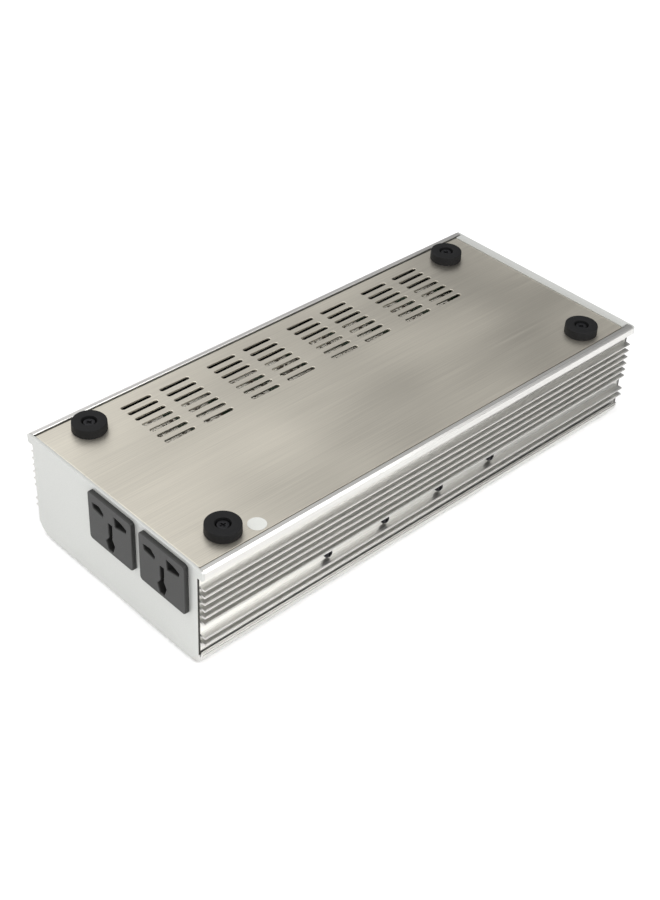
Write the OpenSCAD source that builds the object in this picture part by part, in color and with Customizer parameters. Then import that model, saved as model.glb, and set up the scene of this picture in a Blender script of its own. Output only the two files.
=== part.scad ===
// Power inverter in an extruded finned case, lying on its ribbed top with the feet up.
// +X runs along the case towards the battery end, +Y to the vented side, +Z up.
// The origin is under the middle of the whole object, on the surface it lies on.

/* [Case] */
// Length of the extruded case without its end plates
case_len = 364; // [340:1:420]
// Width over the rails and fin tips
case_w = 160; // [150:1:180]
// Height from the ribbed top face to the rails
case_h = 73.5; // [72:0.5:80]
// Thickness of the side walls
wall_t = 2.4; // [2:0.1:3]
// Thickness of the ribbed top plate
top_t = 3.4; // [3:0.1:4]
// Depth of the cooling fins, from the wall to the tips
fin_depth = 5; // [4:0.1:6]
// Spacing of the cooling fins
fin_pitch = 5; // [4.8:0.1:5.2]
// Spacing of the grooves in the ribbed top
groove_pitch = 5.05; // [4.8:0.05:5.1]
// Height of the rail along each edge of the bottom cover
rail_h = 6.7; // [6:0.1:7]
// Width of the rail's visible top face
rail_w = 4.2; // [4:0.1:4.5]

/* [Covers] */
// Thickness of the bottom cover sheet
cover_t = 1.2; // [1:0.1:1.5]
// Thickness of the end plates
plate_t = 1.5; // [1.2:0.1:1.6]
// Width of the bright lip of the battery end plate beside the cover
dc_lip = 5; // [4:0.5:6]
// Length of a vent slot
vent_len = 22; // [18:1:24]
// Width of a vent slot
vent_w = 3; // [2.5:0.1:3.4]
// Spacing of the slots in one vent group
vent_pitch = 7; // [6.5:0.1:7.2]

/* [Feet] */
// Diameter of a rubber foot at its base
foot_d = 21.5; // [18:0.5:24]
// Height of a rubber foot above the cover
foot_h = 6; // [5:0.5:8]
// Distance of the feet from the side of the case
foot_side = 19.5; // [18:0.5:21]

/* [Sockets] */
// Width of a socket face
sock_w = 40; // [38:0.5:42]
// Height of a socket face
sock_h = 35; // [34:0.5:36]
// Distance that a socket face stands proud of the end plate
sock_proud = 2.8; // [2:0.1:3.5]
// Spacing of the two sockets
sock_pitch = 46.3; // [44:0.1:48]

/* [Battery end] */
// Size of the square fan frame
fan_size = 60; // [60:1:60]
// Depth of the fan frame
fan_depth = 25; // [20:1:25]
// Thread diameter of the battery studs
stud_d = 8; // [8:1:8]
// Diameter of the screw caps on the studs
cap_d = 20; // [18:0.5:22]
// Length of a screw cap
cap_len = 14; // [12:0.5:16]

/* [Hidden] */
$fn = 48;

// how far the battery end's caps and the sockets stand out of the end plates
base_t = 4;
washer_t = 1.6;
cap_reach = base_t + washer_t + cap_len;
// the two ends of the extrusion, shifted so that the whole object is centred
x_ac = -case_len / 2 + (sock_proud - cap_reach) / 2;
x_dc = x_ac + case_len;

half_w = case_w / 2;
wall_y = half_w - fin_depth;
wall_in = wall_y - wall_t;
rail_in = half_w - rail_w;
rail_z = case_h - rail_h;
ledge_z = case_h - 2;
cover_top = ledge_z + cover_t;
flange_top = ledge_z;
flange_z = flange_top - plate_t;
gutter_z = 10.6;
corner_r = 9.5;
lip_t = 1.6;
lip_y = half_w - 2.6;
corner_y = lip_y - corner_r;
rail_cut = 1.3;
boss_y = 68.7;
boss_z = 6.7;
boss_hole_r = 1.4;
groove_first = 24;
grooves = 9;
fin_t = 1.2;
// heights of the fin centres: six together, a gap for the screws, then two more
fin_top_z = case_h - 14.2;
fins = [for (i = [0:5]) fin_top_z - i * fin_pitch, fin_top_z - 35.4, fin_top_z - 40.4];

// main board, held in the wall slots with its soldered side up
board_t = 1.6;
board_z = 60;
board_half = 71.8;
board_x0 = x_ac + 24.6;
board_x1 = x_dc - fan_depth - 1.5;
standoff_h = flange_z - board_z - board_t;

foot_x = [x_ac + 29, x_dc - 31];
foot_y = half_w - foot_side;
foot_places = [for (x = foot_x, y = [foot_y, -foot_y]) [x, y]];

// clamp screws through both side walls, in the gap between the sixth and seventh fins
bay = 46.5;
clamp_x = [for (i = [0:3]) x_ac + 95 + i * bay];
clamp_z = case_h - 44.6;

plate_half = wall_y + 0.5;
plate_foot = 2.2;
plate_cut = 7;
ear_top = case_h - 0.2;
ear_cut = rail_cut - 0.2;

sock_y = [-1.9, -1.9 - sock_pitch];
sock_z = 53.2;
sock_wall = 1;
sock_back = 3;
sock_depth = 20;
pin_line = 8.6;
slot_t = 4.6;
pin_half = 10.4;
earth_u = 0.3;
earth_v = -9.9;
earth_len = 11.4;
tail = 4;
tail_w = 5;
tail_t = 0.8;
earth_tail_w = 3.4;

vent_x0 = x_ac + 54.7;
vent_group = 29.45;
vent_pair = 66.7;
vent_y0 = 63.9;

fan_y = 34;
fan_z = 35.5;
fan_bore = 57.4;
fan_hole = 50;
hub_r = 12.5;
rotor_r = 27.6;
shaft_r = 1.5;

// radial clearance of running fits and of threads drawn as plain cylinders
fit = 0.05;

term_y = [-7, -34];
term_z = 36;
term_hole = 12;
stud_in = 16;
switch_y = -57;
switch_z = 44;
led_y = -57;
led_z = [25, 15];
earth_y = -67;
earth_z = 28;

// clamped against each side wall: pad, transistors and bar, from the wall inwards
pad_t = 0.5;
body_t = 4.4;
bar_t = 5;
bar_x = [clamp_x[0] - 37, clamp_x[3] + 37];

// transformers, their round middle leg and their outer legs
core_x = [x_ac + 208, x_ac + 262];
core_y = 14;
core_w = 50;
core_l = 42;
core_h = 34;
core_drop = 0.2;
leg_r = 8.4;
leg_w = 6;

// choke ring beside the sockets, standing on edge
choke_x = x_ac + 56;
choke_y = 42;
choke_z = 40;

// ---------- shared shapes ----------

// a shape drawn across the case in Y and Z, extruded along X from x0 to x1
module along_x(x0, x1) {
    translate([x0, 0, 0]) rotate([90, 0, 90]) linear_extrude(x1 - x0) children();
}

// a rod along +X
module rod_x(x0, x1, y, z, r) {
    translate([x0, y, z]) rotate([0, 90, 0]) cylinder(h = x1 - x0, r = r);
}

// a flat shape with round corners, made only of rectangles and circles
module round_rect(w, h, r) {
    square([w, h - 2 * r], center = true);
    square([w - 2 * r, h], center = true);
    for (sx = [-1, 1], sy = [-1, 1]) translate([sx * (w / 2 - r), sy * (h / 2 - r)]) circle(r);
}

// a slot with round ends along X
module slot(length, width) {
    square([length - width, width], center = true);
    for (s = [-1, 1]) translate([s * (length - width) / 2, 0]) circle(d = width);
}

// a hexagon across flats
module hex(flats) {
    circle(r = flats / sqrt(3), $fn = 6);
}

// pan head with a cross recess, its seat at z = 0 and its head above
module pan_screw(d, head_d, head_h, shank) {
    difference() {
        union() {
            translate([0, 0, -shank]) cylinder(h = shank + 0.1, d = d);
            cylinder(h = head_h * 0.6, d = head_d);
            translate([0, 0, head_h * 0.6]) cylinder(h = head_h * 0.4, d1 = head_d, d2 = head_d * 0.72);
        }
        for (a = [0, 90]) rotate([0, 0, a]) translate([-head_d * 0.3, -head_d * 0.07, head_h * 0.4])
            cube([head_d * 0.6, head_d * 0.14, head_h]);
    }
}

// a round lead of radius r along a list of points
function unit(v) = v / norm(v);
function heading(p, i) = unit(p[min(i + 1, len(p) - 1)] - p[max(i - 1, 0)]);
function side_of(t) = unit(abs(t.z) < 0.9 ? cross(t, [0, 0, 1]) : cross(t, [0, 1, 0]));
module lead(p, r) {
    sides = 8;
    rings = [for (i = [0:len(p) - 1]) let (t = heading(p, i), u = side_of(t), v = cross(t, u))
        for (k = [0:sides - 1]) p[i] + r * (cos(k * 360 / sides) * u + sin(k * 360 / sides) * v)];
    skin = [for (i = [0:len(p) - 2], k = [0:sides - 1]) let (n = (k + 1) % sides)
        [(i + 1) * sides + k, (i + 1) * sides + n, i * sides + n, i * sides + k]];
    first = [for (k = [0:sides - 1]) k];
    last = [for (k = [sides - 1:-1:0]) (len(p) - 1) * sides + k];
    polyhedron(points = rings, faces = concat(skin, [first], [last]));
}
// points of a lead between two ends, leaving each end along the direction given for it
function bent(a, b, out_a, out_b, n) = [for (i = [0:n]) let (t = i / n, s = 1 - t)
    s * s * s * a + 3 * s * s * t * (a + out_a) + 3 * s * t * t * (b + out_b) + t * t * t * b];

// ---------- case ----------

module half_profile() {
    difference() {
        union() {
            square([corner_y, top_t]);
            translate([wall_in, 3.4]) square([wall_t, rail_z - 2.9]);
            // curled lip and gutter at the corner
            intersection() {
                translate([corner_y, corner_r]) difference() {
                    circle(corner_r);
                    circle(corner_r - lip_t);
                }
                translate([corner_y - 1, 0]) square([corner_r + 1, corner_r]);
            }
            translate([lip_y - lip_t, corner_r - 0.1]) square([lip_t, gutter_z - corner_r + 0.1]);
            // boss for a screw at each corner of the end
            translate([boss_y, boss_z]) circle(3.6);
            polygon([
                [boss_y - 1, 1], [boss_y + 1, 1], [wall_in + 0.5, 3.4],
                [wall_in + 0.5, boss_z + 1], [boss_y - 1, boss_z + 1]]);
            // fins, a little thinner at their tips
            for (z = fins) translate([wall_y, z]) polygon([
                [-0.1, -fin_t * 0.7], [fin_depth - 0.9, -fin_t / 2], [fin_depth - 0.1, -fin_t * 0.25],
                [fin_depth - 0.1, fin_t * 0.25], [fin_depth - 0.9, fin_t / 2], [-0.1, fin_t * 0.7]]);
            // rail and the ledge under the cover
            polygon([
                [wall_in, rail_z], [half_w - 0.8, rail_z], [half_w, rail_z + 0.8],
                [half_w, case_h - rail_cut], [half_w - rail_cut, case_h], [rail_in + 0.3, case_h],
                [rail_in, case_h - 0.3], [rail_in, ledge_z], [wall_in, ledge_z]]);
            // ribs that hold the board
            for (z = [board_z - 2.2, board_z + board_t + 0.2])
                translate([wall_in - 2.4, z]) square([2.5, 2]);
        }
        translate([rail_in - 1.1, ledge_z - 2]) square([1.1, 2.1]);
        // groove under the rim of the lip
        translate([lip_y - 0.6, gutter_z - 1.6]) square([1, 1]);
        for (i = [0:grooves - 1]) translate([groove_first + i * groove_pitch, 0]) {
            translate([0, 1.4]) circle(1.1);
            translate([-0.7, -0.1]) square([1.4, 1.5]);
        }
        translate([boss_y, boss_z]) circle(boss_hole_r);
    }
}

module case_extrusion() {
    color("silver") difference() {
        along_x(x_ac, x_dc) {
            half_profile();
            mirror([1, 0]) half_profile();
        }
        for (x = clamp_x, s = [-1, 1]) translate([x, s * (wall_in - 1), clamp_z]) rotate([-s * 90, 0, 0])
            cylinder(h = wall_t + 2, d = 3.4);
    }
}

module vent_slots() {
    for (pair = [0:3], side = [0, 1], i = [0:6])
        translate([vent_x0 + pair * vent_pair + side * vent_group + vent_len / 2, vent_y0 - i * vent_pitch])
            slot(vent_len, vent_w);
}

module bottom_cover() {
    cover_x0 = x_ac + 0.9;
    cover_x1 = x_dc - dc_lip - 0.3;
    cover_half = rail_in - 1.1;
    color("tan") translate([0, 0, ledge_z]) linear_extrude(cover_t) difference() {
        translate([cover_x0, -cover_half]) square([cover_x1 - cover_x0, 2 * cover_half]);
        vent_slots();
        for (p = foot_places) translate(p) circle(d = 4.4);
    }
}

// upright part of an end plate: wide ears over the rails, cut corners at the ribbed top
module plate_outline() {
    polygon([
        [-half_w, rail_z + 0.8], [-half_w, ear_top - ear_cut], [ear_cut - half_w, ear_top],
        [half_w - ear_cut, ear_top], [half_w, ear_top - ear_cut], [half_w, rail_z + 0.8],
        [half_w - 0.8, rail_z], [0.8 - half_w, rail_z]]);
    polygon([
        [-plate_half, rail_z + 0.1], [-plate_half, plate_foot + plate_cut],
        [-plate_half + plate_cut, plate_foot], [plate_half - plate_cut, plate_foot],
        [plate_half, plate_foot + plate_cut], [plate_half, rail_z + 0.1]]);
}

// folded flange under the cover, with the holes for the two foot screws
module plate_flange(x0, x1, foot) {
    translate([0, 0, flange_z]) linear_extrude(plate_t) difference() {
        translate([x0, 1.2 - wall_in]) square([x1 - x0, 2 * (wall_in - 1.2)]);
        for (y = [foot_y, -foot_y]) translate([foot, y]) circle(d = 4.4);
    }
}

module ac_end_plate() {
    color("whitesmoke") {
        difference() {
            along_x(x_ac - plate_t, x_ac) plate_outline();
            for (y = sock_y) along_x(x_ac - plate_t - 0.1, x_ac + 0.1) translate([y, sock_z])
                square([sock_w - 2 * sock_wall, sock_h - 2 * sock_wall], center = true);
        }
        translate([x_ac - 0.1, 1.2 - rail_in, ear_top - plate_t]) cube([0.5, 2 * (rail_in - 1.2), plate_t]);
        plate_flange(x_ac - 0.1, foot_x[0] + 9, foot_x[0]);
    }
}

module dc_end_plate() {
    color("whitesmoke") {
        difference() {
            along_x(x_dc, x_dc + plate_t) plate_outline();
            rod_x(x_dc - 0.1, x_dc + plate_t + 0.1, fan_y, fan_z, fan_bore / 2);
            translate([0, fan_y, fan_z]) for (sy = [-1, 1], sz = [-1, 1])
                rod_x(x_dc - 0.1, x_dc + plate_t + 0.1, sy * fan_hole / 2, sz * fan_hole / 2, 2.15);
            for (y = term_y) rod_x(x_dc - 0.1, x_dc + plate_t + 0.1, y, term_z, term_hole / 2);
            for (z = led_z) rod_x(x_dc - 0.1, x_dc + plate_t + 0.1, led_y, z, 3.2);
            rod_x(x_dc - 0.1, x_dc + plate_t + 0.1, earth_y, earth_z, 2.1);
            translate([x_dc - 0.1, switch_y - 9.6, switch_z - 6.6]) cube([plate_t + 0.2, 19.2, 13.2]);
        }
        translate([x_dc - dc_lip, 1.2 - rail_in, ear_top - plate_t])
            cube([dc_lip + 0.1, 2 * (rail_in - 1.2), plate_t]);
        translate([x_dc - dc_lip, 1.2 - wall_in, flange_z])
            cube([plate_t, 2 * (wall_in - 1.2), ear_top - flange_z]);
        plate_flange(foot_x[1] - 9, x_dc - dc_lip + 0.1, foot_x[1]);
    }
}

module foot(n) {
    recess_r = foot_d * 0.23;
    color("black") translate([foot_places[n - 1].x, foot_places[n - 1].y, cover_top]) rotate_extrude()
        polygon([[2.2, 0], [foot_d / 2, 0], [foot_d / 2 - 0.2, foot_h - 0.7], [foot_d / 2 - 0.9, foot_h],
            [recess_r + 0.5, foot_h], [recess_r, foot_h - 0.5], [recess_r, 1.8], [2.2, 1.8]]);
}

module foot_screws() {
    color("dimgray") for (p = foot_places) translate([p.x, p.y, cover_top + 1.8]) pan_screw(4, 8.4, 3.1, 9);
}

module clamp_screws() {
    color("silver") for (x = clamp_x, s = [-1, 1])
        translate([x, s * wall_y, clamp_z]) rotate([-s * 90, 0, 0]) pan_screw(3, 6, 2.3, 12);
}

module seal_dot() {
    color("white") translate([x_ac + 47, -68, cover_top]) cylinder(h = 0.2, d = 11);
}

// ---------- sockets ----------

// the openings in a socket face, seen from the front with the line and neutral above the earth
module pin_openings() {
    for (s = [-1, 1]) translate([s * pin_half, pin_line]) square([10.4, slot_t], center = true);
    translate([-7.2, pin_line + slot_t / 2 + 0.8]) square([4.2, 2.2], center = true);
    translate([-0.4, 1.2]) square([3.4, 7.4], center = true);
    translate([earth_u, earth_v]) rotate([0, 0, 90]) slot(earth_len, slot_t);
    translate([0, earth_v + 0.4]) circle(3.6);
}

// the narrow slots through a socket's back for the tails of its contacts
module tail_slots() {
    for (s = [-1, 1]) translate([s * pin_half, pin_line])
        square([tail_w + 0.4, tail_t + 0.4], center = true);
    translate([earth_u, earth_v]) square([earth_tail_w + 0.4, tail_t + 0.4], center = true);
}

module socket(n) {
    back = x_ac + sock_depth;
    inner = back - sock_back;
    color("dimgray") translate([0, sock_y[n], sock_z]) difference() {
        union() {
            along_x(x_ac - plate_t - sock_proud, x_ac - plate_t) round_rect(sock_w, sock_h, 2.5);
            along_x(x_ac - plate_t - 0.1, back)
                square([sock_w - 2 * sock_wall - 0.4, sock_h - 2 * sock_wall - 0.4], center = true);
        }
        along_x(x_ac - plate_t - sock_proud - 0.1, inner) pin_openings();
        along_x(inner - 0.1, back + 0.1) tail_slots();
    }
}

// three brass contacts: a plate at the bottom of each opening, a strip beside each pin and a tail
module contacts(n) {
    back = x_ac + sock_depth;
    inner = back - sock_back;
    color("goldenrod") translate([0, sock_y[n], sock_z]) {
        for (s = [-1, 1]) {
            along_x(x_ac + 6, inner - 1) translate([s * (pin_half + 4.8), pin_line])
                square([0.5, 4], center = true);
            along_x(inner - 2, inner) translate([s * pin_half, pin_line])
                square([10, 4.2], center = true);
            along_x(inner - 0.1, back + tail) translate([s * pin_half, pin_line])
                square([tail_w, tail_t], center = true);
        }
        along_x(inner - 2, inner) translate([earth_u, earth_v]) square([4.2, 6.6], center = true);
        along_x(inner - 0.1, back + tail) translate([earth_u, earth_v])
            square([earth_tail_w, tail_t], center = true);
    }
}

// ---------- battery end ----------

module fan_frame() {
    x0 = x_dc - fan_depth;
    color("black") translate([0, fan_y, fan_z]) {
        difference() {
            along_x(x0, x_dc) round_rect(fan_size, fan_size, 4);
            rod_x(x0 - 0.1, x_dc + 0.1, 0, 0, fan_bore / 2);
            for (sy = [-1, 1], sz = [-1, 1])
                rod_x(x0 - 0.1, x_dc + 0.1, sy * fan_hole / 2, sz * fan_hole / 2, 2.15);
        }
        // motor plate on four struts at the inner face
        for (a = [45:90:315]) rotate([a, 0, 0]) translate([x0, hub_r - 1, -1.5])
            cube([3, fan_bore / 2 - hub_r + 2, 3]);
        difference() {
            rod_x(x0, x0 + 5, 0, 0, hub_r);
            rod_x(x0 + 1.5, x0 + 5.1, 0, 0, shaft_r + fit);
        }
    }
}

module fan_rotor() {
    x0 = x_dc - fan_depth + 5.6;
    x1 = x_dc - 2.5;
    blades = 7;
    color("dimgray") translate([0, fan_y, fan_z]) {
        rod_x(x0, x1, 0, 0, hub_r);
        rod_x(x0 - 3.5, x0 + 0.1, 0, 0, shaft_r);
        intersection() {
            rod_x(x0, x1, 0, 0, rotor_r);
            for (i = [0:blades - 1]) rotate([i * 360 / blades, 0, 0])
                translate([(x0 + x1) / 2, 0, hub_r - 1]) rotate([0, 0, 52])
                    translate([-0.7, -14, 0]) cube([1.4, 28, 20]);
        }
    }
}

module fan_guard() {
    wire = 0.8;
    x = x_dc + plate_t + wire;
    corner = fan_hole / sqrt(2);
    eye_r = 3.2;
    leg_0 = 7.3;
    color("silver") translate([0, fan_y, fan_z]) {
        for (r = [7.5, 14.5, 21.5, 28]) translate([x + 1.2, 0, 0]) rotate([0, 90, 0]) rotate_extrude()
            translate([r, 0]) circle(wire);
        for (a = [45:90:315]) rotate([a, 0, 0]) {
            translate([x, leg_0, 0]) rotate([-90, 0, 0])
                cylinder(h = corner - eye_r - leg_0 + 0.2, r = wire * 0.98);
            translate([x, corner, 0]) rotate([0, 90, 0]) rotate_extrude()
                translate([eye_r, 0]) circle(wire);
        }
    }
}

module fan_screws() {
    color("silver") for (sy = [-1, 1], sz = [-1, 1])
        translate([x_dc + plate_t + 1.6, fan_y + sy * fan_hole / 2, fan_z + sz * fan_hole / 2])
            rotate([0, 90, 0]) pan_screw(4, 8, 2.4, 20);
}

module terminal_base(n) {
    x = x_dc + plate_t;
    color(n == 0 ? "red" : "black") translate([0, term_y[n], term_z]) difference() {
        union() {
            rod_x(x, x + base_t, 0, 0, cap_d / 2 + 1);
            rod_x(x_dc - 4, x + 0.1, 0, 0, term_hole / 2 - 0.2);
        }
        rod_x(x_dc - 4.1, x + base_t + 0.1, 0, 0, stud_d / 2 + fit);
    }
}

module stud(n) {
    color("goldenrod") rod_x(x_dc - stud_in, x_dc + plate_t + cap_reach - 3, term_y[n], term_z, stud_d / 2);
}

module washer(n) {
    x = x_dc + plate_t + base_t;
    color("silver") translate([0, term_y[n], term_z]) difference() {
        rod_x(x, x + washer_t, 0, 0, cap_d / 2 - 1.5);
        rod_x(x - 0.1, x + washer_t + 0.1, 0, 0, stud_d / 2 + fit);
    }
}

// ribbed screw cap on a stud
module cap(n) {
    x = x_dc + plate_t + base_t + washer_t;
    color(n == 0 ? "red" : "black") translate([0, term_y[n], term_z]) difference() {
        union() {
            rod_x(x, x + 1.5, 0, 0, cap_d / 2);
            rod_x(x + 1.4, x + cap_len, 0, 0, cap_d / 2 - 0.6);
        }
        for (a = [0:30:330]) rotate([a, 0, 0]) rod_x(x + 2.5, x + cap_len + 0.1, 0, cap_d / 2 + 0.2, 1.5);
        rod_x(x - 0.1, x + cap_len - 2, 0, 0, stud_d / 2 + fit);
    }
}

module terminal_nuts() {
    color("silver") for (y = term_y) translate([0, y, term_z]) difference() {
        along_x(x_dc - 10.5, x_dc - 4) hex(13);
        rod_x(x_dc - 10.6, x_dc - 3.9, 0, 0, stud_d / 2 + fit);
    }
}

module switch_body() {
    x = x_dc + plate_t;
    color("black") translate([0, switch_y, switch_z]) difference() {
        union() {
            along_x(x, x + 2) round_rect(21, 15, 1.2);
            translate([x_dc - 13, -9.4, -6.4]) cube([13 + plate_t + 0.1, 18.8, 12.8]);
        }
        translate([x - 7, -8, -5]) cube([9.1, 16, 10]);
        translate([x - 1, 0, -6]) cylinder(h = 12, d = 2.1);
    }
}

// rocker that tips about an upright axle
module switch_rocker() {
    x = x_dc + plate_t;
    color("dimgray") translate([x - 1, switch_y, switch_z]) {
        rotate([0, 0, -10]) intersection() {
            translate([-4.4, -6.9, -4.7]) cube([11, 13.8, 9.4]);
            difference() {
                translate([-6, 0, -4.7]) cylinder(h = 9.4, r = 12.2);
                translate([13.5, 0, -4.8]) cylinder(h = 9.6, r = 9.5);
            }
        }
        translate([0, 0, -5.9]) cylinder(h = 11.8, d = 2);
    }
}

module led_bezels() {
    x = x_dc + plate_t;
    color("black") for (z = led_z) translate([0, led_y, z]) difference() {
        union() {
            rod_x(x, x + 1.6, 0, 0, 4);
            rod_x(x_dc - 5, x + 0.1, 0, 0, 3.1);
        }
        rod_x(x_dc - 5.1, x + 1.7, 0, 0, 2.55);
    }
}

module led(z) {
    x = x_dc + plate_t;
    translate([0, led_y, z]) {
        rod_x(x_dc - 6, x + 1.4, 0, 0, 2.5);
        intersection() {
            translate([x + 1.4, 0, 0]) sphere(2.5);
            rod_x(x + 1.3, x + 4, 0, 0, 2.6);
        }
    }
}

module power_led() {
    color("limegreen") led(led_z[0]);
}

module fault_led() {
    color("red") led(led_z[1]);
}

module earth_stud() {
    color("silver") {
        rod_x(x_dc - 5, x_dc + plate_t + 9, earth_y, earth_z, 2);
        along_x(x_dc - 3.2, x_dc) translate([earth_y, earth_z]) hex(7);
    }
}

module earth_nut() {
    x = x_dc + plate_t;
    color("silver") translate([0, earth_y, earth_z]) difference() {
        union() {
            rod_x(x, x + 1, 0, 0, 4.5);
            along_x(x + 0.9, x + 4.2) hex(7);
        }
        rod_x(x - 0.1, x + 4.3, 0, 0, 2 + fit);
    }
}

// ---------- inside ----------

module main_board() {
    color("darkgreen") translate([0, 0, board_z]) linear_extrude(board_t) difference() {
        translate([board_x0, -board_half]) square([board_x1 - board_x0, 2 * board_half]);
        for (p = foot_places) translate(p) circle(d = 3.4);
    }
}

module control_board() {
    color("green") translate([x_ac + 150, -20, board_z - 38]) cube([70, 1.6, 38]);
}

// hexagonal pillars, tapped for the board screws below and for the foot screws above
module board_standoffs() {
    low = 3.5;
    color("goldenrod") for (p = foot_places) translate([p.x, p.y, board_z + board_t]) difference() {
        linear_extrude(standoff_h) hex(7);
        translate([0, 0, -0.1]) cylinder(h = low + 0.2, r = 1.5 + fit);
        translate([0, 0, low]) cylinder(h = standoff_h, r = 2 + fit);
    }
}

module standoff_screws() {
    color("silver") for (p = foot_places) translate([p.x, p.y, board_z]) rotate([180, 0, 0])
        pan_screw(3, 5.6, 2, 3.2);
}

// two E cores of a ferrite transformer, hanging from the board
module transformer_core(n) {
    top = board_z - core_drop;
    color("dimgray") translate([core_x[n], core_y, top - core_h]) difference() {
        translate([-core_l / 2, -core_w / 2, 0]) cube([core_l, core_w, core_h]);
        difference() {
            translate([-core_l / 2 - 1, -core_w / 2 + leg_w, leg_w])
                cube([core_l + 2, core_w - 2 * leg_w, core_h - 2 * leg_w]);
            cylinder(h = core_h, r = leg_r);
        }
    }
}

module transformer_winding(n) {
    top = board_z - core_drop;
    color("gold") translate([core_x[n], core_y, top - core_h + leg_w + 0.3]) difference() {
        cylinder(h = core_h - 2 * leg_w - 0.6, r = core_w / 2 - leg_w - 0.6);
        translate([0, 0, -1]) cylinder(h = core_h, r = leg_r + 0.3);
    }
}

// a can capacitor hanging from the board
module can(x, y, d, h) {
    translate([x, y, board_z - h]) {
        cylinder(h = h - 0.8, d = d);
        translate([0, 0, h - 1]) cylinder(h = 1, d = d - 1.2);
    }
}

module input_capacitors() {
    color("navy") for (i = [0:1], j = [0:2]) can(x_dc - 46 - i * 19, 12 + j * 19, 17, 34);
}

module bus_capacitors() {
    color("black") for (i = [0:1]) can(x_ac + 82 + i * 36, 6, 32, 46);
}

// a block against the inside of a side wall: gap from the wall, thickness, x and z from and to
module on_wall(side, gap, t, x, z) {
    y = wall_in - gap;
    translate([x[0], side > 0 ? y - t : -y, z[0]]) cube([x[1] - x[0], t, z[1] - z[0]]);
}

// transistors standing against a wall, two in each bay between the clamp screws
module transistor_row(side, bays) {
    for (k = bays, third = [1, 2]) {
        x = clamp_x[0] + bay * (k + third / 3);
        on_wall(side, pad_t, body_t, [x - 5, x + 5], [clamp_z - 7, clamp_z + 8.4]);
        on_wall(side, pad_t, 1.3, [x - 5, x + 5], [clamp_z - 13, clamp_z - 6.9]);
        for (leg = [-1:1]) {
            x_leg = x + leg * 2.54;
            on_wall(side, pad_t + 2, 0.8, [x_leg - 0.4, x_leg + 0.4], [clamp_z + 8.3, board_z]);
        }
    }
}

module input_transistors() {
    color("black") transistor_row(-1, [-1:3]);
}

module output_transistors() {
    color("black") transistor_row(1, [-1:2]);
}

// a hole for a clamp screw, through whatever stands against the wall
module clamp_hole(side, x, d) {
    translate([x, side * (wall_in - 12), clamp_z]) rotate([-side * 90, 0, 0]) cylinder(h = 13, d = d);
}

// bars that press the transistors against the walls, drawn in by the side screws
module clamp_bars() {
    color("silver") for (s = [-1, 1]) difference() {
        on_wall(s, pad_t + body_t, bar_t, bar_x, [clamp_z - 4, clamp_z + 4]);
        for (x = clamp_x) clamp_hole(s, x, 3 + 2 * fit);
    }
}

module thermal_pads() {
    color("lightgray") for (s = [-1, 1]) difference() {
        on_wall(s, 0, pad_t, bar_x, [clamp_z - 14, clamp_z + 10]);
        for (x = clamp_x) clamp_hole(s, x, 3.4);
    }
}

module choke_core() {
    color("yellow") translate([choke_x, choke_y, choke_z]) rotate([90, 0, 0]) difference() {
        cylinder(h = 14, r = 18, center = true);
        cylinder(h = 16, r = 10, center = true);
    }
}

module choke_winding() {
    turns = 22;
    color("peru") translate([choke_x, choke_y, choke_z]) for (i = [0:turns - 1])
        rotate([0, i * 330 / turns + 15, 0]) translate([14, 0, 0]) difference() {
            cube([11, 17, 2], center = true);
            cube([8.2, 14.2, 3], center = true);
        }
}

module blade_fuses() {
    color("orange") for (i = [0:3]) translate([x_dc - 112, -50 + i * 9, board_z - 17]) {
        cube([19, 5, 9]);
        for (x = [0.6, 12.2]) translate([x, 2, 8.9]) cube([6.2, 0.8, 8.1]);
    }
}

// leads from the battery studs to the board
module battery_lead(n) {
    a = [x_dc - stud_in - 0.4, term_y[n], term_z];
    b = [x_dc - 74, term_y[n], board_z - 0.2];
    color(n == 0 ? "red" : "black") lead(bent(a, b, [-28, 0, 0], [0, 0, -30], 14), 2.6);
}

// leads from the tails of the right socket's contacts to the board
module mains_lead(s, colour) {
    y = sock_y[1] + s * 10.4;
    a = [x_ac + 22.6, y, sock_z + pin_line - 0.6];
    b = [x_ac + 60, y + 6, board_z - 0.2];
    color(colour) lead(bent(a, b, [0, 0, -16], [0, 0, -18], 14), 1.3);
}

module live_lead() {
    mains_lead(1, "brown");
}

module neutral_lead() {
    mains_lead(-1, "blue");
}

module fan_lead() {
    y = fan_y + 25;
    a = [x_dc - fan_depth - 0.2, y, fan_z + 14];
    b = [x_dc - 42, y, board_z - 0.2];
    color("red") lead(bent(a, b, [-8, 0, 0], [0, 0, -8], 12), 0.9);
}

case_extrusion();
bottom_cover();
ac_end_plate();
dc_end_plate();
foot(1);  // foot_1
foot(2);  // foot_2
foot(3);  // foot_3
foot(4);  // foot_4
foot_screws();
clamp_screws();
seal_dot();
socket(0);  // socket_left
socket(1);  // socket_right
contacts(0);  // contacts_left
contacts(1);  // contacts_right
fan_frame();
fan_rotor();
fan_guard();
fan_screws();
terminal_base(0);  // red_base
terminal_base(1);  // black_base
stud(0);  // red_stud
stud(1);  // black_stud
washer(0);  // red_washer
washer(1);  // black_washer
cap(0);  // red_cap
cap(1);  // black_cap
terminal_nuts();
switch_body();
switch_rocker();
led_bezels();
power_led();
fault_led();
earth_stud();
earth_nut();
main_board();
control_board();
board_standoffs();
standoff_screws();
transformer_core(0);  // transformer_core_1
transformer_core(1);  // transformer_core_2
transformer_winding(0);  // transformer_winding_1
transformer_winding(1);  // transformer_winding_2
input_capacitors();
bus_capacitors();
input_transistors();
output_transistors();
clamp_bars();
thermal_pads();
choke_core();
choke_winding();
blade_fuses();
battery_lead(0);  // battery_lead_red
battery_lead(1);  // battery_lead_black
live_lead();
neutral_lead();
fan_lead();
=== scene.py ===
"""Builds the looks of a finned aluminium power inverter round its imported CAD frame."""

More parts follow.
